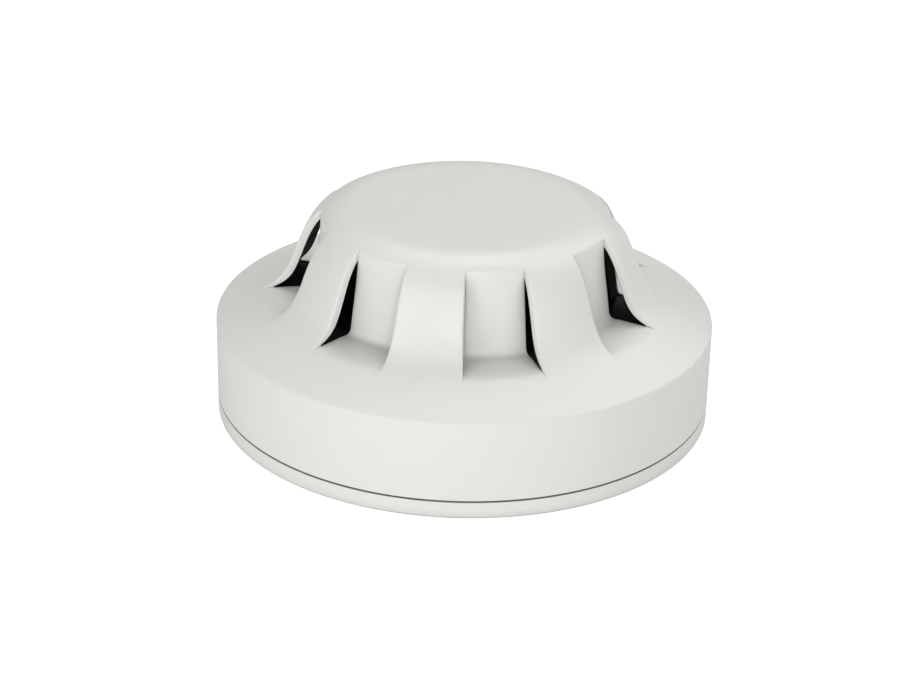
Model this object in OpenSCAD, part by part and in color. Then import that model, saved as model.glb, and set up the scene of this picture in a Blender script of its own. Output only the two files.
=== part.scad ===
// Point heat detector on its twist-lock mounting base.
// Origin: centre of the face that lies against the ceiling. +Z runs from that face to the dome.
// The head (cover, chamber, electronics, rear housing) turns on the base about Z.

/* [Overall] */
// Diameter of the cover's skirt and of the base ring
body_d = 100; // [98:0.5:104]
// Height of the base ring that stays visible under the seam
base_ring_h = 3.35; // [3:0.05:3.6]
// Open seam between the base ring and the cover's skirt
seam_gap = 0.3; // [0.2:0.05:0.5]
// Height of the rim where the skirt meets the sloping flange
rim_z = 19.85; // [19:0.05:20.5]
// Wall thickness of the skirt
skirt_t = 2; // [1.6:0.1:2.2]

/* [Air inlets] */
// Clearance between the white cover and its dark liner
liner_gap = 0.12; // [0.05:0.01:0.2]
// Thickness of the dark liner
liner_t = 0.4; // [0.3:0.05:0.8]

/* [Ceiling fixing] */
// Distance between the middles of the two fixing slots
slot_spacing = 60; // [56:0.5:62]
// Width of each fixing slot
slot_w = 4.5; // [4:0.1:5]
// Length of each fixing slot, end to end
slot_l = 13.5; // [10:0.5:14]
// Diameter of the cable entry in the middle of the base
cable_d = 20; // [12:1:22]
// Thickness of the base floor
floor_t = 2.5; // [2:0.1:2.8]

/* [Twist lock] */
// Turn from locked to released, in degrees
twist_deg = 20; // [18:1:20]
// Length of each lug, in degrees
lug_deg = 16; // [12:1:16]
// Azimuth of the first lug
lug_az = 30; // [28:1:32]

/* [Electronics] */
// Radius of the circuit board
board_r = 40.5; // [40:0.1:41]
// Thickness of the circuit board
board_t = 1.6; // [1:0.1:1.6]
// Height of the tip of the sensing thermistor
bead_top = 35; // [34:0.5:37]

/* [Hidden] */
$fn = 96;

fin_count = 8;              // fins, and pockets between them; bosses and light pipe stand under pockets
fin_turn = 0;               // azimuth of the first pocket's edge
R = body_d/2;
skirt_in = R - skirt_t;
skirt_z0 = base_ring_h + seam_gap;
pitch = 360/fin_count;      // one fin and one pocket
half = pitch/2;             // a fin and a pocket are equally wide
lug_count = 3;              // lugs on the head, tabs on the base

// Heights of the stack inside
plate_z = 10;               // underside of the rear housing
plate_t = 1.8;
board_z = 16;
floor2_z = 21;              // underside of the chamber floor
floor2_t = 1.2;

// Radii of the twist lock
spig_out = skirt_in - 0.5;
spig_in = spig_out - 1.5;
tab_r = spig_in - 2.4;      // inner radius of the tabs
collar_out = tab_r - 0.4;
collar_in = collar_out - 1.6;
lug_r = spig_in - 0.4;

// Posts and terminals
term_az = [45, 135, 225, 315];
earth_az = 270;
term_r = 36.3;              // the clamping screws
wipe_r = 28;                // the contact crests
boss_r = 35.5;              // the four housing screws
boss_az = [for (k = [0:3]) 56.25 + 90*k];
post_r = 22;                // the four board screws
post_az = [0, 90, 180, 270];
led_r = 35;
led_az = 101.25;
lead_x = 1.27;

// Locking lever: pivot, arm and the tooth it catches
pivot = [3, 34.5];
lever_z = 2.8;
lever_t = 2;
park = 183;                 // direction of the parked arm; it swings out by 18 degrees
tooth_az = 97.5;
blade_az = 101.5;           // where a thin blade reaches the nose

// Smooth curve through hand-chosen points (Catmull-Rom), n steps a span
function cr(a, b, c, d, t) =
  0.5*(2*b + (c - a)*t + (2*a - 5*b + 4*c - d)*t*t + (3*b - a - 3*c + d)*t*t*t);
function curve(p, n) = let (m = len(p) - 1) concat(
  [for (i = [0:m-1]) for (j = [0:n-1])
    cr(p[max(i-1, 0)], p[i], p[i+1], p[min(i+2, m)], j/n)], [p[m]]);
function back(p) = [for (i = [len(p)-1:-1:0]) p[i]];
// The same curve moved along its own normal, towards the axis and down for d > 0
function inset(p, d) = [for (i = [0:len(p)-1])
  let (v = p[min(i+1, len(p)-1)] - p[max(i-1, 0)], u = v/norm(v))
  [max(p[i][0] + d*u[1], 0), p[i][1] - d*u[0]]];

// Sections, as [radius, height]
rim_top = [28.3, 41.37];    // edge of the crown, where fins and pocket walls start
rim_low = [28.3, 39.75];
rim_cut = 28.4;             // the crown's edge in a pocket
foot_in = [38.6, 24.3];     // inner edge of the flange, under a fin
foot_out = [40.2, 24.1];    // outer edge of a fin's foot
foot_low = [38.6, 22.75];
lip = 0.35;                 // degrees that a pocket's sheet reaches past the fin's side
crown = [[0, 42.9], [10, 42.88], [18, 42.84], [22.7, 42.78], [24.5, 42.65], [26, 42.33],
         [27.1, 41.95]];
under_crown = [[0, 41.4], [18, 41.33], [22.5, 41.22], [24.2, 41.05], [25.6, 40.8],
         [27, 40.4]];
fin_out = curve([rim_top, [28.85, 41.08], [30.3, 39.9], [31.65, 38.1], [32.65, 36.1],
         [33.5, 34.15], [34.25, 32.25], [35, 30.25], [35.85, 28.6], [36.85, 26.9],
         [38.25, 25.4], foot_out], 2);
fin_in = curve([rim_low, [28.9, 39.35], [30.35, 37.5], [31.3, 35.7], [32.05, 33.85],
         [32.75, 32], [33.55, 29.9], [34.35, 28.1], [35.5, 26.4], [37.05, 25.1],
         foot_in], 2);
skirt = [[R - 0.35, rim_z + 0.15], [R, rim_z - 0.25], [R, skirt_z0], [skirt_in, skirt_z0],
         [skirt_in, 12.8], [skirt_in - 1.7, 12.8], [skirt_in - 1.7, 13.8], [skirt_in, 14.6],
         [skirt_in, rim_z - 1.2], [41, 21.75]];
wall_out = [[28, 41.42], [28.6, 41.17], [28.85, 40.6], [29, 39], [29.4, 35.2], [30, 31.1],
         [30.6, 27.1], [30.8, 25.7], [31, 25.05], [31.3, 24.65], [31.8, 24.5],
         [35, 24.3], [38.7, 24.04], [39.4, 23.6]];
wall_in = [[27.6, 40.6], [27.6, 39], [28, 35], [28.6, 31], [29.2, 27], [29.5, 24.6],
         [29.9, 23.3], [30.9, 22.95], [35, 22.9], [38.7, 22.9]];

module sector(a0, a1) rotate([0, 0, a0]) rotate_extrude(angle = a1 - a0) children();
module at(az, r, z = 0) rotate([0, 0, az]) translate([r, 0, z]) children();
module box(a, b) translate(a) cube(b - a);
module slot(l, w, h) {
  for (s = [-1, 1]) translate([s*(l - w)/2, 0, 0]) cylinder(d = w, h = h);
  translate([-(l - w)/2, -w/2, 0]) cube([l - w, w, h]);
}
// Fins take the first half of each pitch backwards from the pattern's zero
function fin_a(k) = fin_turn + pitch*k - half;
function pocket_a(k) = fin_turn + pitch*k;

// ---------- base ----------

// Ceiling plate with its ring, bayonet tabs, stops and terminal blocks
module mounting_base() color("ivory") {
  difference() {
    union() {
      rotate_extrude() polygon([[0, 0], [R - 0.4, 0], [R, 0.4], [R, base_ring_h - 0.1],
        [R - 0.1, base_ring_h], [spig_out, base_ring_h], [spig_out, 8.6], [spig_out - 0.4, 9],
        [spig_in, 9], [spig_in, floor_t], [0, floor_t]]);
      // tabs with the stop that the lug meets when it is home
      for (k = [0:lug_count-1]) let (a = lug_az + k*360/lug_count) {
        sector(a - lug_deg/2 - 3, a + lug_deg/2 + 2)
          translate([tab_r, 7.3]) square([spig_in - tab_r + 0.5, 1.7]);
        sector(a - lug_deg/2 - 3, a - lug_deg/2 - 1)
          translate([tab_r, floor_t - 0.5]) square([spig_in - tab_r + 0.5, 7]);
        sector(a + lug_deg/2 + twist_deg + 1, a + lug_deg/2 + twist_deg + 3)
          translate([tab_r, floor_t - 0.5]) square([spig_in - tab_r + 0.5, 7]);
      }
      // terminal blocks
      for (a = term_az) rotate([0, 0, a]) {
        box([31.2, -4.2, floor_t - 0.5], [40.6, 4.2, 6]);
        for (s = [-1, 1]) box([31.2, s*4.6 - 0.4, floor_t - 0.5], [40.6, s*4.6 + 0.4, 7.4]);
      }
      rotate([0, 0, earth_az]) {
        box([31.2, -4.2, floor_t - 0.5], [40.6, 4.2, 6]);
        for (s = [-1, 1]) box([31.2, s*4.6 - 0.4, floor_t - 0.5], [40.6, s*4.6 + 0.4, 7.4]);
      }
      // kerb around the cable entry
      difference() {
        translate([0, 0, floor_t - 0.5]) cylinder(r = cable_d/2 + 1.5, h = 1.7);
        translate([0, 0, floor_t - 1]) cylinder(r = cable_d/2, h = 4);
      }
      // seats of the locking lever
      translate([pivot[0], pivot[1], floor_t - 0.5]) cylinder(r = 2.9, h = 0.7);
    }
    translate([0, 0, -1]) cylinder(d = cable_d, h = 6);
    for (s = [-1, 1]) translate([s*slot_spacing/2, 0, -1]) slot(slot_l, slot_w, 5);
    for (a = concat(term_az, [earth_az])) at(a, term_r, 2.9) cylinder(r = 1.75, h = 6);
    translate([pivot[0], pivot[1], 1]) cylinder(r = 1.2, h = 4);
    // window for the release blade
    rotate([0, 0, blade_az]) box([spig_in - 0.5, -1.5, floor_t + 0.2], [spig_out + 0.3, 1.5, 5.4]);
  }
}

// Stamped strip: clamping end on the block, springy wiping end with a crest
module terminal_contacts() color("silver")
  for (a = term_az) difference() {
    rotate([0, 0, a]) translate([0, 3, 0]) rotate([90, 0, 0]) linear_extrude(6)
      polygon([[40.4, 6], [40.4, 6.6], [31.4, 6.6], [29.2, 7.05], [28.4, 7.3], [27.6, 7.3],
        [26.8, 7.1], [25.4, 6.5], [25.4, 5.9], [26.8, 6.5], [27.7, 6.7], [28.3, 6.7],
        [29, 6.45], [31.2, 6]]);
    at(a, term_r, 5) cylinder(r = 1.6, h = 3);
  }

module earth_terminal() color("silver") difference() {
  rotate([0, 0, earth_az]) box([31.4, -3.9, 6], [40.4, 3.9, 6.6]);
  at(earth_az, term_r, 5) cylinder(r = 1.6, h = 3);
}

module clamp_plates() color("gainsboro")
  for (a = concat(term_az, [earth_az])) difference() {
    union() {
      at(a, term_r) box([-3.2, -3.9, 6.6], [3.2, 3.9, 7.4]);
      for (s = [-1, 1]) at(a, term_r) box([s*2.9 - 0.3, -3.9, 7.2], [s*2.9 + 0.3, 3.9, 7.9]);
    }
    at(a, term_r, 6) cylinder(r = 1.75, h = 3);
    at(a, term_r, 7.4) cylinder(r = 2.9, h = 3);
  }

module terminal_screws() color("lightgray")
  for (a = concat(term_az, [earth_az])) at(a, term_r) difference() {
    union() {
      translate([0, 0, 3.1]) cylinder(r = 1.55, h = 4.6);
      rotate_extrude() polygon([[0, 7.4], [2.7, 7.4], [2.7, 8.6], [2.1, 9.2], [0, 9.2]]);
    }
    box([-3, -0.4, 8.4], [3, 0.4, 10]);
    box([-0.4, -1.8, 8.4], [0.4, 1.8, 10]);
  }

module lock_pivot() color("lightgray") translate([pivot[0], pivot[1], 0]) {
  translate([0, 0, 1.1]) cylinder(r = 1.15, h = 4.2);
  rotate_extrude() polygon([[0, 5.1], [2.2, 5.1], [2.2, 5.6], [1.8, 6], [0, 6]]);
}

// ---------- locking lever, parked clear of the tooth ----------
module lock_lever() color("orangered") translate([pivot[0], pivot[1], lever_z]) difference() {
  union() {
    cylinder(r = 2.6, h = lever_t);
    rotate([0, 0, park]) {
      box([0, -1.3, 0], [15, 1.3, lever_t]);
      box([12, -5.2, 0], [15, 0, lever_t]);          // nose
      box([5.6, 0.1, 0], [8.4, 1.3, lever_t + 2]);   // finger pad
    }
  }
  translate([0, 0, -1]) cylinder(r = 1.25, h = lever_t + 2);
}

// ---------- head ----------

// Skirt, flange, fins, pockets and crown in one moulding
module outer_cover() color("ivory") difference() {
  union() {
    difference() {
      // full turn of the fin's section, then the pockets are cut out of it
      rotate_extrude() polygon(concat(crown, fin_out, skirt, [foot_low], back(fin_in),
        back(under_crown)));
      for (k = [0:fin_count-1]) sector(pocket_a(k), pocket_a(k) + half)
        polygon([[rim_cut, 46], [rim_cut, 30], [33, 21], [37, 21], [37, 24.22], [42, 23.9],
          [44, 46]]);
    }
    for (k = [0:fin_count-1]) sector(pocket_a(k) - lip, pocket_a(k) + half + lip)
      polygon(concat(wall_out, back(wall_in)));
    // screw bosses under four pocket floors
    for (a = boss_az) at(a, boss_r, 14) cylinder(r = 3.2, h = 9.4);
  }
  for (a = boss_az) at(a, boss_r, 13) cylinder(r = 1.3, h = 8.5);
  at(led_az, led_r, 20) cylinder(r = 1.6, h = 6);
  // notch in the skirt's edge for the release blade
  rotate([0, 0, blade_az]) box([skirt_in - 1, -1.2, 2], [R + 1, 1.2, 5.2]);
}

// Dark lining of crown, fins and pocket walls
module inner_liner() color("dimgray") {
  d0 = liner_gap;
  d1 = liner_gap + liner_t;
  span = concat(under_crown, [for (i = [0:len(fin_in)-4]) fin_in[i]]);
  w = [[27.6, 40.1], [27.6, 39], [28, 35], [28.6, 31], [29.2, 27], [29.4, 25],
       [29.4, floor2_z + floor2_t]];
  difference() {
    rotate_extrude() polygon(concat(inset(span, d0), back(inset(span, d1))));
    for (k = [0:fin_count-1]) sector(pocket_a(k) - 0.7, pocket_a(k) + half + 0.7)
      polygon([[27.2, 46], [27.2, 30], [33, 20], [42, 20], [44, 46]]);
  }
  for (k = [0:fin_count-1]) sector(pocket_a(k) - 1, pocket_a(k) + half + 1)
    polygon(concat([for (p = w) [p[0] - d0, p[1] - (p[1] > 40 ? 0.25 : 0)]],
      [for (p = back(w)) [p[0] - d1, p[1] - (p[1] > 40 ? 0.25 : 0)]]));
}

module chamber_floor() color("dimgray") difference() {
  union() {
    translate([0, 0, floor2_z]) cylinder(r = 39, h = floor2_t);
    for (a = boss_az) at(a, boss_r, board_z + board_t) cylinder(r = 4.8, h = floor2_z - board_z - board_t + 0.4);
    translate([0, 0, floor2_z + 0.4]) cylinder(r = 4.6, h = 2.4);
    // lands that fill the floor between the pockets, under each fin
    for (k = [0:fin_count-1]) sector(fin_a(k) + 1.1, fin_a(k) + half - 1.1)
      polygon([[29.9, floor2_z + 0.4], [38.2, floor2_z + 0.4], [38.2, 23.8], [34, 24],
        [30.4, 24.15], [29.9, 23.7]]);
  }
  for (a = boss_az) at(a, boss_r, 10) cylinder(r = 3.5, h = 20);
  translate([0, 0, 10]) cylinder(r = 2.9, h = 20);
  at(led_az, led_r, 10) cylinder(r = 1.8, h = 20);
}

module rear_housing() color("whitesmoke") difference() {
  union() {
    translate([0, 0, plate_z]) cylinder(r = skirt_in - 0.3, h = plate_t);
    rotate_extrude() translate([collar_in, 5.3]) square([collar_out - collar_in, plate_z - 5]);
    for (k = [0:lug_count-1]) let (a = lug_az + k*360/lug_count)
      sector(a - lug_deg/2, a + lug_deg/2)
        translate([collar_out - 0.5, 5.5]) square([lug_r - collar_out + 0.5, 1.5]);
    // tooth that the locking lever catches
    sector(tooth_az - 1.5, tooth_az + 1.5)
      translate([collar_in + 0.1, 3.1]) square([collar_out - collar_in - 0.2, 3]);
    for (a = boss_az) at(a, boss_r, plate_z + 1) cylinder(r = 4.2, h = 14 - plate_z - 1);
    for (a = post_az) at(a, post_r, plate_z + 1) cylinder(r = 2.6, h = board_z - plate_z - 1);
    for (a = term_az) sector(a - 6, a + 8) translate([wipe_r - 2.5, 8.2]) square([5, 2.2]);
  }
  for (a = boss_az) {
    at(a, boss_r, 8) cylinder(r = 2.9, h = 4.2);
    at(a, boss_r, 8) cylinder(r = 1.65, h = 8);
  }
  for (a = post_az) at(a, post_r, 12.4) cylinder(r = 0.9, h = 5);
  for (a = term_az) at(a + 2, wipe_r) box([-1, -0.6, 7], [1, 0.6, 13]);
}

module housing_seal() color("darkslategray") rotate_extrude()
  translate([skirt_in - 1.6, plate_z + plate_t]) square([1.3, 12.8 - plate_z - plate_t]);

module housing_screws() color("lightgray") for (a = boss_az) at(a, boss_r) difference() {
  union() {
    rotate_extrude() polygon([[0, 10.2], [2.3, 10.2], [2.75, 10.6], [2.75, 12.2], [0, 12.2]]);
    translate([0, 0, 12]) cylinder(r = 1.25, h = 7.6);
    translate([0, 0, 19.5]) cylinder(r1 = 1.25, r2 = 0.5, h = 0.9);
  }
  box([-1.6, -0.35, 9], [1.6, 0.35, 11.2]);
  box([-0.35, -1.6, 9], [0.35, 1.6, 11.2]);
}

// Wiping tongue under the plate, with a pin up to the circuit board
module contact_blades() color("silver") for (a = term_az) {
  sector(a - 6, a + 8) translate([wipe_r - 2.3, 7.6]) square([4.6, 0.6]);
  at(a + 2, wipe_r) box([-0.8, -0.4, 8], [0.8, 0.4, board_z + board_t + 0.8]);
}

module circuit_board() color("seagreen") difference() {
  translate([0, 0, board_z]) cylinder(r = board_r, h = board_t);
  for (a = boss_az) at(a, boss_r, board_z - 1) cylinder(r = 3.5, h = 4);
  for (a = post_az) at(a, post_r, board_z - 1) cylinder(r = 1.3, h = 4);
  for (a = term_az) at(a + 2, wipe_r) box([-0.9, -0.5, board_z - 1], [0.9, 0.5, board_z + 3]);
  for (s = [-1, 1]) translate([s*lead_x, 0, board_z - 1]) cylinder(r = 0.4, h = 4);
}

module board_screws() color("lightgray") for (a = post_az) at(a, post_r) difference() {
  union() {
    translate([0, 0, 12.6]) cylinder(r = 0.85, h = 5.2);
    rotate_extrude() polygon([[0, board_z + board_t], [2.1, board_z + board_t],
      [2.1, board_z + board_t + 0.9], [1.5, board_z + board_t + 1.4], [0, board_z + board_t + 1.4]]);
  }
  box([-1.3, -0.25, board_z + board_t + 0.7], [1.3, 0.25, 21]);
  box([-0.25, -1.3, board_z + board_t + 0.7], [0.25, 1.3, 21]);
}

// ---------- parts on the board ----------
module on_board(x, y, a = 0) translate([x, y, board_z + board_t]) rotate([0, 0, a]) children();
module chip(l, w, h, legs, step) {
  translate([-l/2, -w/2, 0.15]) cube([l, w, h]);
  for (s = [-1, 1]) for (i = [0:legs-1])
    translate([(i - (legs - 1)/2)*step - 0.2, s > 0 ? w/2 - 0.3 : -w/2 - 0.9, 0]) cube([0.4, 1.2, 0.5]);
}

module microcontroller() color("black") on_board(12, 9) chip(8, 5.4, 1.5, 7, 1.1);
module bridge_rectifier() color("black") on_board(-13, 12, 90) chip(4.8, 4, 1.8, 2, 2.5);
module capacitors() color("goldenrod") {
  on_board(-14, -9) translate([-3, -1.6, 0]) cube([6, 3.2, 2.6]);
  on_board(-14, -15) translate([-3, -1.6, 0]) cube([6, 3.2, 2.6]);
  on_board(16, -9, 90) translate([-1.6, -0.8, 0]) cube([3.2, 1.6, 1.4]);
  on_board(4, 13, 90) translate([-1, -0.6, 0]) cube([2, 1.2, 1]);
}
module resistors() color("dimgray") for (i = [0:5])
  on_board(7 + 3*(i % 3), -14 - 4*floor(i/3), 90) translate([-1.6, -0.8, 0]) cube([3.2, 1.6, 0.6]);
module reference_thermistor() color("darkslategray") on_board(-6, 17) {
  translate([-1.6, -1, 0]) cube([3.2, 2, 1]);
  translate([0, 0, 1]) cylinder(r = 0.9, h = 0.5);
}

module thermistor_holder() color("dimgray") difference() {
  union() {
    translate([0, 0, board_z + board_t]) cylinder(r = 2.6, h = 27 - board_z - board_t);
    translate([0, 0, 27]) cylinder(r1 = 2.6, r2 = 2.1, h = 1);
  }
  for (s = [-1, 1]) translate([s*lead_x, 0, 10]) cylinder(r = 0.42, h = 30);
  box([-0.5, -4, 25], [0.5, 4, 30]);
}
module thermistor_leads() color("silver") for (s = [-1, 1])
  translate([s*lead_x, 0, board_z - 0.8]) cylinder(r = 0.3, h = bead_top - 4 - board_z + 0.8);
module sensing_thermistor() color("black") rotate_extrude()
  polygon(concat([[0, bead_top - 4], [1.75, bead_top - 4]],
    [for (t = [0:10:90]) [1.95*cos(t), bead_top - 1.95 + 1.95*sin(t)*1]]));

module status_led() color("red") on_board(led_r*cos(led_az), led_r*sin(led_az), led_az) {
  translate([-1.6, -1, 0]) cube([3.2, 2, 0.8]);
  translate([0, 0, 0.8]) cylinder(r = 0.9, h = 0.5);
}
module light_pipe() color("lightcyan") at(led_az, led_r) {
  translate([0, 0, 19.2]) cylinder(r = 1.5, h = 5.2);
  translate([0, 0, 19.2]) cylinder(r = 2.6, h = 0.9);
}

mounting_base();
terminal_contacts();
earth_terminal();
clamp_plates();
terminal_screws();
lock_pivot();
lock_lever();
outer_cover();
inner_liner();
chamber_floor();
rear_housing();
housing_seal();
housing_screws();
contact_blades();
circuit_board();
board_screws();
microcontroller();
bridge_rectifier();
capacitors();
resistors();
reference_thermistor();
sensing_thermistor();
thermistor_leads();
thermistor_holder();
status_led();
light_pipe();
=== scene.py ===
import bpy, bmesh, math
import numpy as np
from mathutils import Matrix, Vector


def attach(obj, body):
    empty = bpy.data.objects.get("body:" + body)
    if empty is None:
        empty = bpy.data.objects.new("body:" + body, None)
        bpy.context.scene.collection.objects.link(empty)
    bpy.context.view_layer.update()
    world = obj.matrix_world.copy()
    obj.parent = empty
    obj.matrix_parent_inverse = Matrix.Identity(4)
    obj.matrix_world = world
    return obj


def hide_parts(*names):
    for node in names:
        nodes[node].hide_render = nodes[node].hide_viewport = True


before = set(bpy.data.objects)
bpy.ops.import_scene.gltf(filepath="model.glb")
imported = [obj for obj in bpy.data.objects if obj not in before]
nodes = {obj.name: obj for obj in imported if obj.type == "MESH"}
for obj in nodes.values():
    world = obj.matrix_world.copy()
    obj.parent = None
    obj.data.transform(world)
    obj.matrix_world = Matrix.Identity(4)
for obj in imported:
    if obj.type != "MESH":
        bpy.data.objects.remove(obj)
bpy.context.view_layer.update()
MM = 0.001

# ------------------------------------------------------------------ curves
def spline(pts, n, start=None, end=None):
    """Cubic spline through pts by chord length, sampled at n points of even chord parameter.
    start and end are optional end slopes (dr, dz) as unit directions."""
    p = np.array(pts, float)
    t = np.concatenate([[0], np.cumsum(np.hypot(*np.diff(p, axis=0).T))])
    m = len(p)
    h = np.diff(t)
    A = np.zeros((m, m)); b = np.zeros((m, 2))
    for i in range(1, m - 1):
        A[i, i-1], A[i, i], A[i, i+1] = h[i-1], 2 * (h[i-1] + h[i]), h[i]
        b[i] = 6 * ((p[i+1] - p[i]) / h[i] - (p[i] - p[i-1]) / h[i-1])
    A[0, 0] = A[-1, -1] = 1
    if start is not None:
        s = np.array(start, float); s /= np.hypot(*s)
        A[0, :2] = 2 * h[0], h[0]; b[0] = 6 * ((p[1] - p[0]) / h[0] - s)
    if end is not None:
        e = np.array(end, float); e /= np.hypot(*e)
        A[-1, -2:] = h[-1], 2 * h[-1]; b[-1] = 6 * (e - (p[-1] - p[-2]) / h[-1])
    M = np.linalg.solve(A, b)
    q = np.linspace(0, t[-1], n) if np.isscalar(n) else np.array(n) * t[-1]
    k = np.clip(np.searchsorted(t, q, side="right") - 1, 0, m - 2)
    a, c, hh = (t[k+1] - q)[:, None], (q - t[k])[:, None], h[k][:, None]
    return (M[k] * a**3 + M[k+1] * c**3) / (6 * hh) + (p[k] / hh - M[k] * hh / 6) * a + (p[k+1] / hh - M[k+1] * hh / 6) * c

def normals2(p):
    """Unit normals to the left of the direction of travel (outward and up on a line that runs outward)."""
    d = np.gradient(p, axis=0)
    d /= np.hypot(*d.T)[:, None]
    return np.stack([-d[:, 1], d[:, 0]], 1)

def arc(c, r, a0, a1, n):
    a = np.radians(np.linspace(a0, a1, n))
    return [(c[0] + r * math.cos(v), c[1] + r * math.sin(v)) for v in a]

def polyline(*parts):
    out = []
    for q in parts:
        for v in q:
            v = (float(v[0]), float(v[1]))
            if not out or math.hypot(out[-1][0] - v[0], out[-1][1] - v[1]) > 1e-5:
                out.append(v)
    return np.array(out)

# ------------------------------------------------------------------ meshes
class Builder:
    """Collects grids of points in (r, z, phi), millimetres and degrees, or in x, y, z. slot is the material of the faces to come."""
    def __init__(self):
        self.v, self.f, self.m, self.n, self.slot = [], [], [], 0, 0

    def grid(self, P, flip=False):
        """P: rows x columns x 3, in x, y, z."""
        a, b = P.shape[:2]
        idx = np.arange(a * b).reshape(a, b) + self.n
        q = np.stack([idx[:-1, :-1], idx[1:, :-1], idx[1:, 1:], idx[:-1, 1:]], -1).reshape(-1, 4)
        self.f.append(q[:, ::-1] if flip else q)
        self.v.append(P.reshape(-1, 3)); self.n += a * b
        self.m.append(np.full(len(q), self.slot))

    def polar(self, rz, phi, flip=False):
        """rz: rows x 2 or rows x cols x 2; phi: cols or rows x cols, degrees."""
        rz = np.array(rz, float); phi = np.array(phi, float)
        if phi.ndim == 1:
            phi = np.broadcast_to(phi, (rz.shape[0], len(phi)))
        if rz.ndim == 2:
            rz = np.broadcast_to(rz[:, None], (*phi.shape, 2))
        a = np.radians(phi)
        self.grid(np.stack([rz[..., 0] * np.cos(a), rz[..., 0] * np.sin(a), rz[..., 1]], -1), flip)

    def arrays(self):
        return np.vstack(self.v), np.vstack(self.f)

def mesh_object(name, v, faces, weld=2e-3, fill=False, sharp=32, slots=None):
    """v in millimetres."""
    me = bpy.data.meshes.new(name)
    me.from_pydata([tuple(p) for p in v], [], [tuple(int(i) for i in f) for f in faces])
    if slots is not None:
        for _ in range(int(slots.max()) + 1):
            me.materials.append(None)
        me.polygons.foreach_set("material_index", slots.astype(np.int32))
    bm = bmesh.new(); bm.from_mesh(me)
    bmesh.ops.remove_doubles(bm, verts=bm.verts, dist=weld)
    bmesh.ops.dissolve_degenerate(bm, edges=bm.edges, dist=weld)
    if fill:
        loops = [e for e in bm.edges if e.is_boundary]
        if loops:
            got = bmesh.ops.holes_fill(bm, edges=loops, sides=0)
            bmesh.ops.triangulate(bm, faces=got["faces"], ngon_method="EAR_CLIP")
    bmesh.ops.recalc_face_normals(bm, faces=bm.faces)
    bmesh.ops.scale(bm, vec=(MM, MM, MM), verts=bm.verts)
    bm.to_mesh(me); bm.free()
    ob = bpy.data.objects.new(name, me)
    bpy.context.scene.collection.objects.link(ob)
    me.shade_smooth()
    me.set_sharp_from_angle(angle=math.radians(sharp))
    return ob

def apply_modifiers(ob):
    dg = bpy.context.evaluated_depsgraph_get()
    me = bpy.data.meshes.new_from_object(ob.evaluated_get(dg))
    ob.modifiers.clear()
    old, ob.data = ob.data, me
    bpy.data.meshes.remove(old)

def lathe(prof, n=256, closed=True):
    p = np.array(prof, float)
    if closed:
        p = np.vstack([p, p[:1]])
    b = Builder(); b.polar(p, np.linspace(0, 360, n + 1))
    return b.arrays()

# ------------------------------------------------------------------ the cover's sections, millimetres
RIM = (28.3, 41.37)
B = 11.25                      # half a fin, degrees
RHO, RTAN = 1.2, 0.3           # depth and width of the round on a fin's long edges
crown = spline([(0, 42.9), (10, 42.88), (18, 42.84), (22.7, 42.78), (24.5, 42.65), (26, 42.33), (27.1, 41.95), RIM],
               np.concatenate([np.linspace(0, .6, 7)[:-1], np.linspace(.6, 1, 24)]), start=(1, 0), end=(.86, -.51))
S_pts = [RIM, (28.85, 41.08), (30.3, 39.9), (31.65, 38.1), (32.65, 36.1), (33.5, 34.15), (34.25, 32.25), (35, 30.25),
         (35.85, 28.6), (36.85, 26.9), (38.25, 25.4), (40.2, 24.1), (41.4, 23.52)]
U_pts = [(28.3, 39.75), (28.9, 39.35), (30.35, 37.5), (31.3, 35.7), (32.05, 33.85), (32.75, 32), (33.55, 29.9),
         (34.35, 28.1), (35.5, 26.4), (37.05, 25.1), (38.6, 24.3)]
P_pts = [RIM, (28.62, 41.12), (28.86, 40.6), (28.97, 39.8), (29.08, 38.4), (29.4, 35.2), (30, 31.1), (30.6, 27.1), (30.78, 25.8),
         (31.0, 25.0), (31.6, 24.52), (32.6, 24.43), (35, 24.32), (38.6, 24.1), (40.2, 23.92), (41.4, 23.52)]
S_fine = spline(S_pts, 900, start=(.86, -.51), end=(.917, -.398))
U_fine = spline(U_pts, 700)
P_fine = spline(P_pts, 900, start=(.86, -.51), end=(.917, -.398))

def nearest(curve, p):
    d = np.hypot(*(curve - p).T); i = int(d.argmin()); return i, d[i]

# where the fin's underside leaves the pocket wall, and where it ends on the flange
dd = [nearest(P_fine[:420], u)[1] for u in U_fine[:220]]
iu = int(np.argmin(dd)); X_t = U_fine[iu]; ip, _ = nearest(P_fine[:420], X_t)
side = P_fine[ip]; X_t = side.copy()
jb, _ = nearest(P_fine, np.array([38.6, 24.1])); X_b = P_fine[jb]

def resample(c, n):
    t = np.concatenate([[0], np.cumsum(np.hypot(*np.diff(c, axis=0).T))])
    q = np.linspace(0, t[-1], n)
    return np.stack([np.interp(q, t, c[:, 0]), np.interp(q, t, c[:, 1])], 1)

KT, KU, KL = 12, 40, 6
I_top = resample(P_fine[:ip+1], KT + 1)
U_low = resample(np.vstack([X_t, U_fine[iu+1:]]), KU + 1)
ledge = resample(P_fine[jb:], KL + 1)
I = np.vstack([I_top, U_low[1:], ledge])              # inner boundary of the fin's side
NS = len(I)
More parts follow.
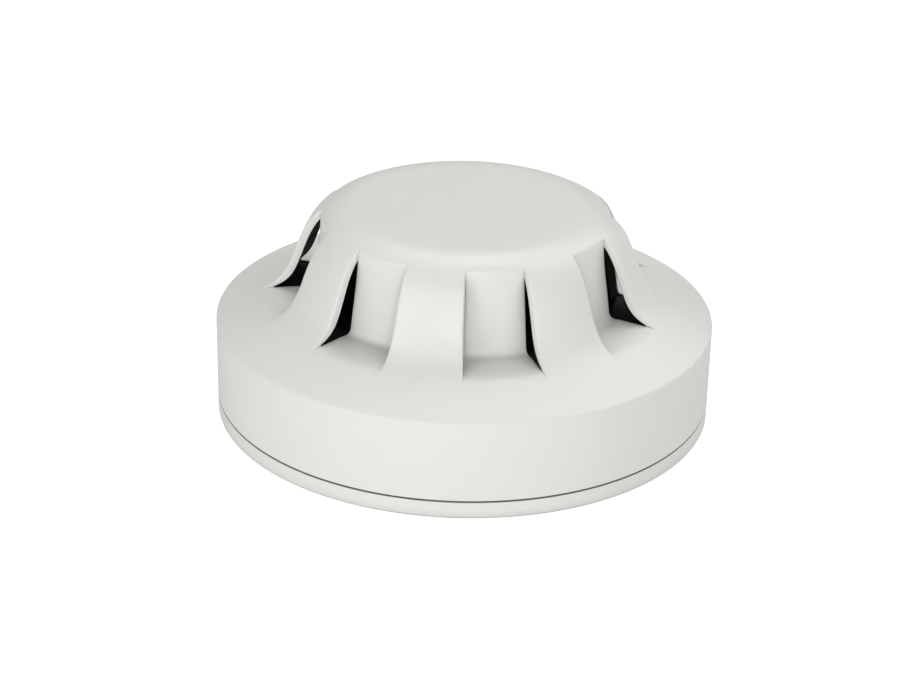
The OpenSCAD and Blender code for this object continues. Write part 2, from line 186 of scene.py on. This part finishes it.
# matching rows on the fin's outer curve: nearest by arc share within each stretch
def station(p, lo):
    d = np.hypot(*(S_fine[lo:] - p).T); return lo + int(d.argmin())
s_idx, lo = [0], 1
s_kt = station(X_t + np.array([.9, .9]), 1)
s_ku = station(np.array([40.0, 24.2]), 1)
tS = np.concatenate([[0], np.cumsum(np.hypot(*np.diff(S_fine, axis=0).T))])
def s_at(q):
    return np.stack([np.interp(q, tS, S_fine[:, 0]), np.interp(q, tS, S_fine[:, 1])], 1)
tU = np.concatenate([[0], np.cumsum(np.hypot(*np.diff(U_low, axis=0).T))])
q = np.concatenate([np.linspace(0, tS[s_kt], KT + 1), tS[s_kt] + (tS[s_ku] - tS[s_kt]) * tU[1:] / tU[-1],
                    np.linspace(tS[s_ku], tS[-1], KL + 2)[1:]])
S = s_at(q)
S[0], S[-1] = RIM, P_fine[-1]
nS = normals2(S)
I_fine = resample(I, 1500)
T = np.array([np.hypot(*(I_fine - p).T).min() for p in S])   # depth of the side at each row
amp = np.clip(T * 0.82 / RHO, 0, 1)
for _ in range(2):
    amp[1:-1] = amp[:-2] * .25 + amp[1:-1] * .5 + amp[2:] * .25
amp = np.minimum(amp, T * 0.86 / RHO)
amp[0] = amp[-1] = 0

# columns: rounded edge by angle, then even spacing to the fin's middle
yy = np.array([1, .75, .5, .3, .15, .05, 0])
xe = RTAN * (1 - np.sqrt(1 - (1 - yy) ** 2)); de = RHO * yy
squeeze = 0.12 + 0.88 * amp
NFI = 10                                              # inner columns of a half fin
def fin_phi(r, sq):
    """Column angles from the fin's middle (0) to its edge (B) at each row."""
    x = np.outer(sq, xe)                              # mm from the edge
    edge = B - np.degrees(x / r[:, None])             # B first, then inwards
    first = edge[:, -1:]
    inner = first * np.linspace(0, 1, NFI + 1)[:-1][None, :]
    return np.hstack([inner, edge[:, ::-1]])
drop_cols = np.concatenate([np.zeros(NFI), de[::-1]])
phiF = fin_phi(S[:, 0], squeeze)
finRZ = S[:, None, :] - nS[:, None, :] * (amp[:, None] * drop_cols[None, :])[..., None]

# pocket sheet: rows along P, columns from the fin's side to the pocket's middle
KP = 52
P_free = resample(P_fine[ip:jb+1], KP + 1)
P_rows = np.vstack([I_top[:-1], P_free[:-1], ledge])
nP = normals2(P_rows)
RP = 0.22
thp = np.radians([90, 62, 35, 0])
xp = RP * (1 - np.sin(thp)); dp = RP * (1 - np.cos(thp))
w = np.zeros(len(P_rows))
k0, k1 = KT, KT + KP
u = np.linspace(0, 1, k1 - k0 + 1)
w[k0:k1+1] = np.clip(np.minimum(u, 1 - u) * 14, 0, 1)
NPI = 10
LIP = 0.2
def pocket_phi(r, w):
    edge0 = B - np.degrees(LIP * w / r)
    x = np.outer(0.3 + 0.7 * w, xp)
    edge = edge0[:, None] + np.degrees(x / r[:, None])
    last = edge[:, -1:]
    ease = np.linspace(0, 1, NPI + 1)[1:] ** 1.25
    return np.hstack([edge, last + (22.5 - last) * ease[None, :]])
phiP = pocket_phi(P_rows[:, 0], w)
dropP = np.concatenate([dp, np.zeros(NPI)])
pockRZ = P_rows[:, None, :] - nP[:, None, :] * (w[:, None] * dropP[None, :])[..., None]

# from the flange outwards, down the skirt and back inside to the flange's inner edge
f0 = P_fine[-1]
slope = math.atan2(24.1 - 19.85, 9.8)
rimr = 0.55
# centre of the rim's round, tangent to the cone and to the skirt's cylinder
cz = None
rc = 50 - rimr
zc = (24.1 - (rc - 40.2) * math.tan(slope)) - rimr / math.cos(slope)
rim = arc((rc, zc), rimr, 90 - math.degrees(slope), 0, 9)
cone = [tuple(f0 + (np.array(rim[0]) - f0) * t) for t in np.linspace(0, 1, 9)]
skirt = [(50, z) for z in np.linspace(zc, 3.95, 9)]
low = arc((49.75, 3.9), 0.25, 0, -90, 5)
inn = [(48.15, 3.65)] + arc((48.2, 3.85), 0.2, -90, -180, 4) + [(48, 8), (48, 12.8), (46.3, 12.8), (46.3, 13.8), (48, 14.6), (48, 18.65),
       (46.5, 19.35), (44, 20.45), (41, 21.75), (38.6, 22.75)]
outer = polyline(cone, rim, skirt, low, inn)

under = spline([(0, 41.4), (18, 41.33), (22.5, 41.22), (24.2, 41.05), (25.6, 40.8), (27, 40.4), (27.6, 40.13)],
               np.concatenate([np.linspace(0, .6, 6)[:-1], np.linspace(.6, 1, 10)]), start=(1, 0))
top_in = under[-1]                                    # where the dome's inside meets the walls
U_head = np.vstack([top_in[None], [[28.3, 39.75]], [X_t]])
fin_under = np.vstack([U_head[:-1], U_low, X_b[None], [[38.6, 22.75]]])
sheet_edge_n = KP + 4                                # points on each side of the pocket sheet's free edge
Q_fine = spline([top_in, (27.6, 39), (28, 35), (28.6, 31), (29.15, 27), (29.45, 24.8), (29.9, 23.45), (30.9, 22.95), (33, 22.88),
                 (35, 22.85), (38.6, 22.75)], 400)
Q = resample(Q_fine, sheet_edge_n)
wQ = np.clip(np.minimum(np.arange(sheet_edge_n), np.arange(sheet_edge_n)[::-1]) / 6.0, 0, 1)

def half_wedge():
    b = Builder()
    f_first, f_last = phiF[0], phiF[-1]
    p_first, p_last = phiP[0], phiP[-1]
    b.polar(crown, f_first); b.polar(crown, p_first)
    b.polar(finRZ, phiF)
    b.polar(pockRZ, phiP)
    b.polar(outer, f_last); b.polar(outer, p_last)
    # the fin's side, in its radial plane
    E = finRZ[:, -1]
    strip = np.stack([E, E * .5 + I * .5, I], 1)
    b.polar(strip, np.full(strip.shape[:2], B))
    b.slot = 1
    # undersides of the dome and the fin, and the ring's inner face below the fin
    b.polar(under, f_first); b.polar(under, p_first)
    t = np.linspace(0, 1, len(fin_under))[:, None]
    b.polar(fin_under, f_first[None] * (1 - t) + f_last[None] * t)
    # back of the pocket sheet
    t = np.linspace(0, 1, len(Q))[:, None]
    phiQ = p_first[None] * (1 - t) + p_last[None] * t
    edgeQ = B - np.degrees(LIP * wQ / Q[:, 0])
    phiQ = edgeQ[:, None] + (phiQ - B) * (22.5 - edgeQ[:, None]) / (22.5 - B)
    b.polar(Q, phiQ)
    # the pocket sheet's free edge
    A_rz = np.vstack([U_head[:-1], pockRZ[KT:KT+KP+1, 0], [[38.6, 22.75]]])
    A_phi = np.concatenate([[B, B], phiP[KT:KT+KP+1, 0], [B]])
    strip = np.stack([A_rz, Q], 1)
    b.polar(strip, np.stack([A_phi, edgeQ], 1))
    return b

def cover_slots():
    return np.tile(np.concatenate(half_wedge().m), 16)

def cover_shell():
    v, f = half_wedge().arrays()
    m = v * [1, -1, 1]
    v, f = np.vstack([v, m]), np.vstack([f, f[:, ::-1] + len(v)])
    vs, fs = [], []
    for k in range(8):
        a = math.radians(-11.25 + 45 * k)
        R = np.array([[math.cos(a), -math.sin(a), 0], [math.sin(a), math.cos(a), 0], [0, 0, 1]])
        vs.append(v @ R.T); fs.append(f + k * len(v))
    return np.vstack(vs), np.vstack(fs)


def tube(r0, r1, z0, z1, at, bore_top=None, n=40, chamfer=0.0):
    """A round boss with an optional blind bore from below, in place."""
    if bore_top is None:
        prof = [(0, z0), (r1 - chamfer, z0), (r1, z0 + chamfer), (r1, z1), (0, z1)]
        v, f = lathe(prof, n, closed=False)
    else:
        prof = [(0, bore_top), (r0, bore_top), (r0, z0), (r1, z0), (r1, z1), (0, z1)]
        v, f = lathe(prof, n, closed=False)
    return v + [at[0], at[1], 0], f

def pol(r, a):
    return r * math.cos(math.radians(a)), r * math.sin(math.radians(a))

def block(x0, x1, y0, y1, z0, z1, turn=0.0, at=(0, 0)):
    v = np.array([(x, y, z) for x in (x0, x1) for y in (y0, y1) for z in (z0, z1)], float)
    a = math.radians(turn)
    R = np.array([[math.cos(a), -math.sin(a), 0], [math.sin(a), math.cos(a), 0], [0, 0, 1]])
    f = [(0, 1, 3, 2), (4, 6, 7, 5), (0, 4, 5, 1), (2, 3, 7, 6), (0, 2, 6, 4), (1, 5, 7, 3)]
    return v @ R.T + [at[0], at[1], 0], f

def boolean(ob, tools, op, sharp=38, solver="MANIFOLD"):
    for t in tools:
        m = ob.modifiers.new("b", "BOOLEAN"); m.operation = op; m.solver = solver; m.object = t
        apply_modifiers(ob)
        bpy.data.objects.remove(t)
    ob.data.shade_smooth()
    ob.data.set_sharp_from_angle(angle=math.radians(sharp))

cover = mesh_object("cover_moulding", *cover_shell(), weld=2e-3, sharp=38, slots=cover_slots())
boss = [mesh_object("b", *tube(1.3, 3.2, 14.0, 23.4, pol(35.5, 56.25 + 90 * k), 21.5)) for k in range(4)]
boolean(cover, boss, "UNION")
x, y = pol(35, 101.25)
pin = mesh_object("b", *tube(0, 1.6, 20.0, 26.0, (x, y)))
x0, y0 = pol(49, 101.5)
notch = mesh_object("b", *block(-3, 3, -1.2, 1.2, 3.0, 5.2, 101.5, (x0, y0)))
boolean(cover, [pin, notch], "DIFFERENCE")


def sector_solid(r0, r1, a0, a1, z0, z1, c=0.15):
    """A block between two radii and two azimuths, with its top edges chamfered."""
    n = max(2, int(abs(a1 - a0) / 1.5) + 1)
    prof = [(r0, z0), (r1, z0), (r1, z1 - c), (r1 - c, z1), (r0 + c, z1), (r0, z1 - c)]
    b = Builder(); p = np.array(prof + prof[:1])
    b.polar(p, np.linspace(a0, a1, n))
    v, f = b.arrays(); f = [tuple(q) for q in f]
    k = len(v); caps = []
    for a in (a0, a1):
        t = math.radians(a)
        caps.append([(r * math.cos(t), r * math.sin(t), z) for r, z in prof])
    v = np.vstack([v, caps[0], caps[1]])
    f += [tuple(range(k, k + 6)), tuple(range(k + 6, k + 12))]
    return v, f

# ------------------------------------------------------------------ lining
def offset(c, d):
    """c moved by d towards the inside of the housing."""
    c = np.array(c, float); return c - normals2(c) * d

def sector_profile(prof, a0, a1, n):
    """Closed solid: the profile swept from azimuth a0 to a1."""
    b = Builder(); p = np.vstack([prof, prof[:1]])
    b.polar(p, np.linspace(a0, a1, n))
    v, f = b.arrays(); f = [tuple(q) for q in f]; k, m = len(v), len(prof)
    for j, a in enumerate((a0, a1)):
        t = math.radians(a)
        v = np.vstack([v, [(r * math.cos(t), r * math.sin(t), z) for r, z in prof]])
        f.append(tuple(range(k + j * m, k + (j + 1) * m)))
    return v, f

G0, G1 = 0.06, 0.36
u_line = resample(np.vstack([under[3:-1], fin_under[:KU]]), 60)
head_prof = np.vstack([offset(under, G0)[:-2], offset(under, G1)[:-2][::-1]])
head_prof[[0, -1], 0] = 0
liner = mesh_object("inner_lining", *lathe(head_prof, 240), sharp=38)
parts = []
fin_prof = np.vstack([offset(u_line, G0), offset(u_line, G1)[::-1]])
q_line = resample(Q_fine[6:300], 40)
q_prof = np.vstack([q_line - [G0, 0], (q_line - [G1, 0])[::-1]])
for k in range(8):
    a = 45 * k
    parts.append(mesh_object("t", *sector_profile(fin_prof, a - 22.5 + 1.1, a - 1.1, 21)))
    parts.append(mesh_object("t", *sector_profile(q_prof, a - .9, a + 22.5 + .9, 24)))
boolean(liner, parts, "UNION")

# ------------------------------------------------------------------ base
base_prof = polyline(
    [(0, 0.0), (20, 0), (44.6, 0), (44.8, 0.25), (46.2, 0.25), (46.4, 0)],
    arc((49.6, 0.4), 0.4, -90, 0, 6), arc((49.85, 3.2), 0.15, 0, 90, 4),
    [(47.75, 3.35)], [(47.5, 3.6), (47.5, 8.55)], arc((47.1, 8.6), 0.4, 0, 90, 5), arc((46.2, 8.8), 0.2, 90, 180, 3),
    [(46, 3.1)], arc((45.4, 3.1), 0.6, 0, -90, 4), [(30, 2.5), (0, 2.5)])
base = mesh_object("mounting_base_moulding", *lathe(base_prof, 288, closed=False), sharp=38)
add = []
for k in range(3):
    a = 30 + 120 * k
    add += [sector_solid(43.6, 46.5, a - 11, a + 10, 7.3, 9.0), sector_solid(43.6, 46.5, a - 11, a - 9, 2.0, 8.6),
            sector_solid(43.6, 46.5, a + 29, a + 31, 2.0, 9.0)]
tools = [mesh_object("t", *q) for q in add]
for a in (45, 135, 225, 315, 270):
    tools.append(mesh_object("t", *block(31.2, 40.6, -4.2, 4.2, 2.0, 6.0, a)))
    for t in (-1, 1):
        tools.append(mesh_object("t", *block(31.2, 40.6, t * 4.6 - .4, t * 4.6 + .4, 2.0, 7.4, a)))
tools.append(mesh_object("t", *lathe([(0, 2.0), (11.5, 2.0), (11.5, 3.5), (11.3, 3.7), (0, 3.7)], 96, closed=False)))
v, f = lathe([(0, 2.0), (2.9, 2.0), (2.9, 2.7), (0, 2.7)], 40, closed=False)
tools.append(mesh_object("t", v + [3, 34.5, 0], f))
boolean(base, tools, "UNION")
# cable entry with a flared mouth, fixing slots with a relieved edge, screw holes, lever pin and blade window
tools = [mesh_object("t", *lathe([(0, -1), (10.4, -1), (10.4, 0), (10, .4), (10, 5), (0, 5)], 96, closed=False))]
def slot_solid(l, w, z0, z1, cx, extra=0.0):
    ring = []
    for t, c in ((1, (l - w) / 2), (-1, -(l - w) / 2)):
        for a in np.linspace(-90, 90, 17):
            aa = math.radians(a if t > 0 else a + 180)
            ring.append((c + (w / 2 + extra) * math.cos(aa), (w / 2 + extra) * math.sin(aa)))
    n = len(ring)
    v = np.array([(x + cx, y, z) for z in (z0, z1) for x, y in ring])
    f = [(i, (i + 1) % n, n + (i + 1) % n, n + i) for i in range(n)] + [tuple(range(n)), tuple(range(n, 2 * n))]
    return v, f
for t in (-1, 1):
    tools.append(mesh_object("t", *slot_solid(13.5, 4.5, -1, 5, 30 * t)))
    tools.append(mesh_object("t", *slot_solid(13.5, 4.5, 1.9, 5, 30 * t, 1.4)))
for a in (45, 135, 225, 315, 270):
    v, f = lathe([(0, 2.9), (1.75, 2.9), (1.75, 9.5), (0, 9.5)], 32, closed=False)
    tools.append(mesh_object("t", v + [*pol(36.3, a), 0], f))
v, f = lathe([(0, 1.0), (1.2, 1.0), (1.2, 5), (0, 5)], 32, closed=False)
tools.append(mesh_object("t", v + [3, 34.5, 0], f))
tools.append(mesh_object("t", *block(45.5, 47.8, -1.5, 1.5, 2.7, 5.4, 101.5)))
# shallow moulding marks on the ceiling side: ejector rings
for a in (22, 112, 202, 292):
    v, f = lathe([(0, -1), (2.5, -1), (2.5, 0.12), (0, 0.12)], 40, closed=False)
    tools.append(mesh_object("t", v + [*pol(22, a), 0], f))
boolean(base, tools, "DIFFERENCE")
flat = base.modifiers.new("weighted_normals", "WEIGHTED_NORMAL"); flat.mode = "FACE_AREA"; flat.weight = 100; flat.keep_sharp = True

# ------------------------------------------------------------------ materials
def material(name, colour, rough, metal=0.0, tint=0.03, tint_scale=90, rough_var=0.06, grain=0.03, grain_scale=2600,
             grain_depth=2e-5, coat=0.0, spec=0.5, stretch=None, trans=0.0, ior=1.5, subsurface=0.0, painted_gap_shade=None):
    """Principled finish with colour that drifts a little, uneven gloss and a fine relief, all in object space, and
    optional painted shade in narrow gaps from an ambient occlusion node.
    """
    m = bpy.data.materials.new(name); m.use_nodes = True
    nt = m.node_tree; nt.nodes.clear()
    N = nt.nodes.new; L = nt.links.new
    out = N("ShaderNodeOutputMaterial"); b = N("ShaderNodeBsdfPrincipled"); L(b.outputs[0], out.inputs[0])
    b.inputs["Metallic"].default_value = metal
    b.inputs["Coat Weight"].default_value = coat
    b.inputs["Specular IOR Level"].default_value = spec
    b.inputs["IOR"].default_value = ior
    b.inputs["Transmission Weight"].default_value = trans
    if subsurface:
        b.inputs["Subsurface Weight"].default_value = subsurface
        b.inputs["Subsurface Radius"].default_value = (0.0012, 0.001, 0.0008)
        b.inputs["Subsurface Scale"].default_value = 1.0
    co = N("ShaderNodeTexCoord"); src = co.outputs["Object"]
    if stretch:
        mp = N("ShaderNodeMapping"); mp.inputs["Scale"].default_value = stretch; L(src, mp.inputs[0]); src = mp.outputs[0]
    def noise(scale, detail=3.0, rough_=0.5):
        n = N("ShaderNodeTexNoise"); n.inputs["Scale"].default_value = scale
        n.inputs["Detail"].default_value = detail; n.inputs["Roughness"].default_value = rough_
        L(src, n.inputs["Vector"]); return n.outputs[0]
    def ramp(fac, a, c, lo=0.3, hi=0.7):
        r = N("ShaderNodeMapRange"); L(fac, r.inputs[0])
        for k, v in zip((1, 2, 3, 4), (lo, hi, a, c)):
            r.inputs[k].default_value = v
        return r.outputs[0]
    mx = N("ShaderNodeMix"); mx.data_type = "RGBA"
    mx.inputs[6].default_value = (*[min(1, c * (1 + tint)) for c in colour], 1)
    mx.inputs[7].default_value = (*[c * (1 - tint) for c in colour], 1)
    L(ramp(noise(tint_scale), 0, 1), mx.inputs[0]); L(mx.outputs[2], b.inputs["Base Color"])
    if painted_gap_shade:                                          # painted shade: base colour darkened by ambient occlusion in narrow gaps, (reach in metres, darkest share)
        ao = N("ShaderNodeAmbientOcclusion"); ao.samples = 8; ao.inputs["Distance"].default_value = painted_gap_shade[0]
        r = N("ShaderNodeMapRange"); L(ao.outputs["AO"], r.inputs[0])
        for k, v in zip((1, 2, 3, 4), (painted_gap_shade[2], painted_gap_shade[3], painted_gap_shade[1], 1.0)):
            r.inputs[k].default_value = v
        g = N("ShaderNodeMix"); g.data_type = "RGBA"; g.blend_type = "MULTIPLY"; g.inputs[0].default_value = 1.0
        L(mx.outputs[2], g.inputs[6]); L(r.outputs[0], g.inputs[7]); L(g.outputs[2], b.inputs["Base Color"])
    L(ramp(noise(tint_scale * 3.3), max(.02, rough - rough_var), min(1, rough + rough_var)), b.inputs["Roughness"])
    bp = N("ShaderNodeBump"); bp.inputs["Strength"].default_value = grain; bp.inputs["Distance"].default_value = grain_depth
    L(noise(grain_scale, 4.0, 0.6), bp.inputs["Height"]); L(bp.outputs[0], b.inputs["Normal"])
    return m

# the white plastic carries painted shade: its base colour is darkened by ambient occlusion within 4.5 mm
white = material("white_moulding", (0.72, 0.72, 0.69), 0.42, tint=0.008, tint_scale=70, rough_var=0.05, grain=0.12, grain_scale=3200, grain_depth=1.5e-5,
                 painted_gap_shade=(0.0045, 0.40, 0.25, 0.68))
black = material("black_moulding", (0.019, 0.019, 0.0195), 0.75, tint=0.15, tint_scale=140, grain=0.3, grain_scale=3000, grain_depth=3e-5, spec=0.12)
steel = material("contact_steel", (0.66, 0.63, 0.58), 0.28, metal=1.0, tint=0.06, tint_scale=160, rough_var=0.1, grain=0.2, grain_scale=900, grain_depth=2e-5, stretch=(1, 1, 6))
zinc = material("plated_steel", (0.60, 0.62, 0.64), 0.32, metal=1.0, tint=0.08, tint_scale=420, rough_var=0.12, grain=0.2, grain_scale=1800, grain_depth=1.5e-5)
orange = material("lever_plastic", (0.80, 0.22, 0.035), 0.42, tint=0.04, grain=0.15, grain_scale=2600)
rubber = material("seal_rubber", (0.022, 0.022, 0.024), 0.78, tint=0.2, tint_scale=200, grain=0.5, grain_scale=2200, grain_depth=4e-5)
chip = material("chip_plastic", (0.02, 0.02, 0.022), 0.62, tint=0.25, tint_scale=900, grain=0.5, grain_scale=5200, grain_depth=2e-5)
capcase = material("capacitor_case", (0.50, 0.33, 0.12), 0.45, tint=0.08, tint_scale=500, grain=0.2, grain_scale=3600)
ceramic = material("resistor_ceramic", (0.035, 0.036, 0.04), 0.38, tint=0.2, tint_scale=700, grain=0.25, grain_scale=4200, coat=0.3)
epoxy = material("bead_epoxy", (0.016, 0.015, 0.015), 0.22, tint=0.2, tint_scale=500, grain=0.3, grain_scale=1400, grain_depth=5e-5, coat=0.5)
wire = material("tinned_wire", (0.72, 0.71, 0.69), 0.25, metal=1.0, tint=0.06, tint_scale=700, grain=0.2, grain_scale=2400, stretch=(1, 1, .15))
led = material("led_body", (0.78, 0.72, 0.55), 0.35, tint=0.05, tint_scale=700, grain=0.1, grain_scale=3000, coat=0.4)
clear = material("clear_plastic", (0.86, 0.9, 0.9), 0.12, tint=0.01, tint_scale=300, rough_var=0.03, grain=0.05, grain_scale=1500, trans=0.9, ior=1.49)

def board_material():
    m = material("board_laminate", (0.018, 0.14, 0.052), 0.36, tint=0.12, tint_scale=600, grain=0.25, grain_scale=1500, grain_depth=2e-5, coat=0.25)
    nt = m.node_tree; N = nt.nodes.new; L = nt.links.new
    b = next(n for n in nt.nodes if n.type == "BSDF_PRINCIPLED")
    co = next(n for n in nt.nodes if n.type == "TEX_COORD")
    # copper tracks under the solder mask: cell borders on a square metric
    v = N("ShaderNodeTexVoronoi"); v.distance = "CHEBYCHEV"; v.feature = "F2"; v.inputs["Scale"].default_value = 260
    v.inputs["Randomness"].default_value = 0.75
    w = N("ShaderNodeTexVoronoi"); w.distance = "CHEBYCHEV"; w.feature = "F1"; w.inputs["Scale"].default_value = 260
    w.inputs["Randomness"].default_value = 0.75
    for q in (v, w): L(co.outputs["Object"], q.inputs["Vector"])
    d = N("ShaderNodeMath"); d.operation = "SUBTRACT"; L(v.outputs[0], d.inputs[0]); L(w.outputs[0], d.inputs[1])
    r = N("ShaderNodeMapRange"); L(d.outputs[0], r.inputs[0])
    for k, val in zip((1, 2, 3, 4), (0.10, 0.13, 1.0, 0.0)): r.inputs[k].default_value = val
    old = b.inputs["Base Color"].links[0].from_socket
    mx = N("ShaderNodeMix"); mx.data_type = "RGBA"; mx.inputs[7].default_value = (0.04, 0.27, 0.09, 1)
    L(r.outputs[0], mx.inputs[0]); L(old, mx.inputs[6]); L(mx.outputs[2], b.inputs["Base Color"])
    return m
pcb = board_material()

finish_of = {
    "terminal_contacts": steel, "earth_terminal": steel, "contact_blades": steel, "clamp_plates": zinc, "terminal_screws": zinc,
    "lock_pivot": zinc, "housing_screws": zinc, "board_screws": zinc, "lock_lever": orange, "inner_liner": black,
    "chamber_floor": black, "thermistor_holder": black, "rear_housing": white, "housing_seal": rubber, "circuit_board": pcb,
    "microcontroller": chip, "bridge_rectifier": chip, "capacitors": capcase, "resistors": ceramic, "reference_thermistor": ceramic,
    "sensing_thermistor": epoxy, "thermistor_leads": wire, "status_led": led, "light_pipe": clear}

def paint(o, m):
    if not o.material_slots:
        o.data.materials.append(m)
    for q in o.material_slots:
        q.material = m

for name, o in nodes.items():
    if name in finish_of:
        paint(o, finish_of[name])
paint(base, white)
cover.material_slots[0].material = white
cover.material_slots[1].material = black                # the side of the wall that the lining covers
paint(liner, black)
for ob, node, body, kind in ((cover, "outer_cover", "head", "white_moulding"), (base, "mounting_base", "base", "white_moulding"),
                             (liner, "inner_liner", "head", "black_moulding")):
    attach(ob, body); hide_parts(node)

# ------------------------------------------------------------------ stage, light, camera
def stage_floor():
    me = bpy.data.meshes.new("studio_floor")
    me.from_pydata([(-16, -8, 0), (16, -8, 0), (0, 18, 0)], [], [(0, 1, 2)])
    o = bpy.data.objects.new("studio_floor", me); bpy.context.scene.collection.objects.link(o)
    o.location.z = -0.0002
    m = bpy.data.materials.new("studio_floor"); m.use_nodes = True
    nt = m.node_tree; nt.nodes.clear(); N = nt.nodes.new; L = nt.links.new
    out = N("ShaderNodeOutputMaterial"); e = N("ShaderNodeEmission"); e.inputs[0].default_value = (1, 1, 1, 1)
    # the backdrop reads as plain white; the light it throws on the object is weaker, as on an overlit sweep
    lp = N("ShaderNodeLightPath"); k = N("ShaderNodeMapRange"); L(lp.outputs["Is Camera Ray"], k.inputs[0])
    k.inputs[3].default_value, k.inputs[4].default_value = 0.50, 0.95; L(k.outputs[0], e.inputs[1])
    d = N("ShaderNodeBsdfDiffuse"); d.inputs[0].default_value = (0.25, 0.25, 0.25, 1)
    a = N("ShaderNodeAddShader"); L(e.outputs[0], a.inputs[0]); L(d.outputs[0], a.inputs[1])
    g = N("ShaderNodeNewGeometry"); t = N("ShaderNodeBsdfTransparent"); x = N("ShaderNodeMixShader")
    L(g.outputs["Backfacing"], x.inputs[0]); L(a.outputs[0], x.inputs[1]); L(t.outputs[0], x.inputs[2]); L(x.outputs[0], out.inputs[0])
    me.materials.append(m)
    return o
stage_floor()

world = bpy.data.worlds.new("studio"); bpy.context.scene.world = world; world.use_nodes = True
bg = world.node_tree.nodes["Background"]; bg.inputs[0].default_value = (1, 1, 1, 1); bg.inputs[1].default_value = 0.1

def area(name, size, power, az, el, dist=0.9, target=(0, 0, 0.02)):
    d = bpy.data.lights.new(name, "AREA"); d.shape = "DISK"; d.size = size; d.energy = power
    o = bpy.data.objects.new(name, d); bpy.context.scene.collection.objects.link(o)
    a, e = math.radians(az), math.radians(el); t = Vector(target)
    o.location = t + Vector((math.cos(a) * math.cos(e), math.sin(a) * math.cos(e), math.sin(e))) * dist
    o.rotation_mode = "QUATERNION"; o.rotation_quaternion = (o.location - t).to_track_quat("Z", "Y")
    return o
# ring of softboxes: azimuth, elevation, power, size
for n, (az, el, power, size) in enumerate([(-90, 8, 3.8, .5), (-135, 20, 2.55, .5), (-45, 20, 1.2, .5), (180, 20, .66, .5), (30, 20, .84, .4),
                                           (90, 60, 2.55, .5), (45, 40, 1.60, .5), (135, 40, .27, .5), (90, 40, .41, .5), (0, 60, 1.35, .5),
                                           (180, 60, .25, .5)]):
    area("softbox_%d" % n, size, power, az, el)

sc = bpy.context.scene
sc.view_settings.view_transform = "Standard"; sc.view_settings.look = "None"

def camera():
    el, D, yaw, pit, roll = 0.4668, 9.466 * 0.05, 0.0060, 0.0263, -0.0236
    C = Vector((0, -D * math.cos(el), D * math.sin(el)))
    fwd = Vector((0, math.cos(el), -math.sin(el))); right = Vector((1, 0, 0)); up = right.cross(fwd)
    R = Matrix.Rotation(yaw, 3, up); fwd, right = R @ fwd, R @ right
    R = Matrix.Rotation(pit, 3, right); fwd, up = R @ fwd, R @ up
    R = Matrix.Rotation(roll, 3, fwd); right, up = R @ right, R @ up
    d = bpy.data.cameras.new("camera"); d.lens = 36 * 2294.3 / 900; d.sensor_width = 36
    d.clip_start, d.clip_end = 0.01, 50
    o = bpy.data.objects.new("camera", d); sc.collection.objects.link(o)
    M = Matrix([[right[i], up[i], -fwd[i], C[i]] for i in range(3)] + [[0, 0, 0, 1]])
    o.matrix_world = M
    return o
sc.camera = camera()
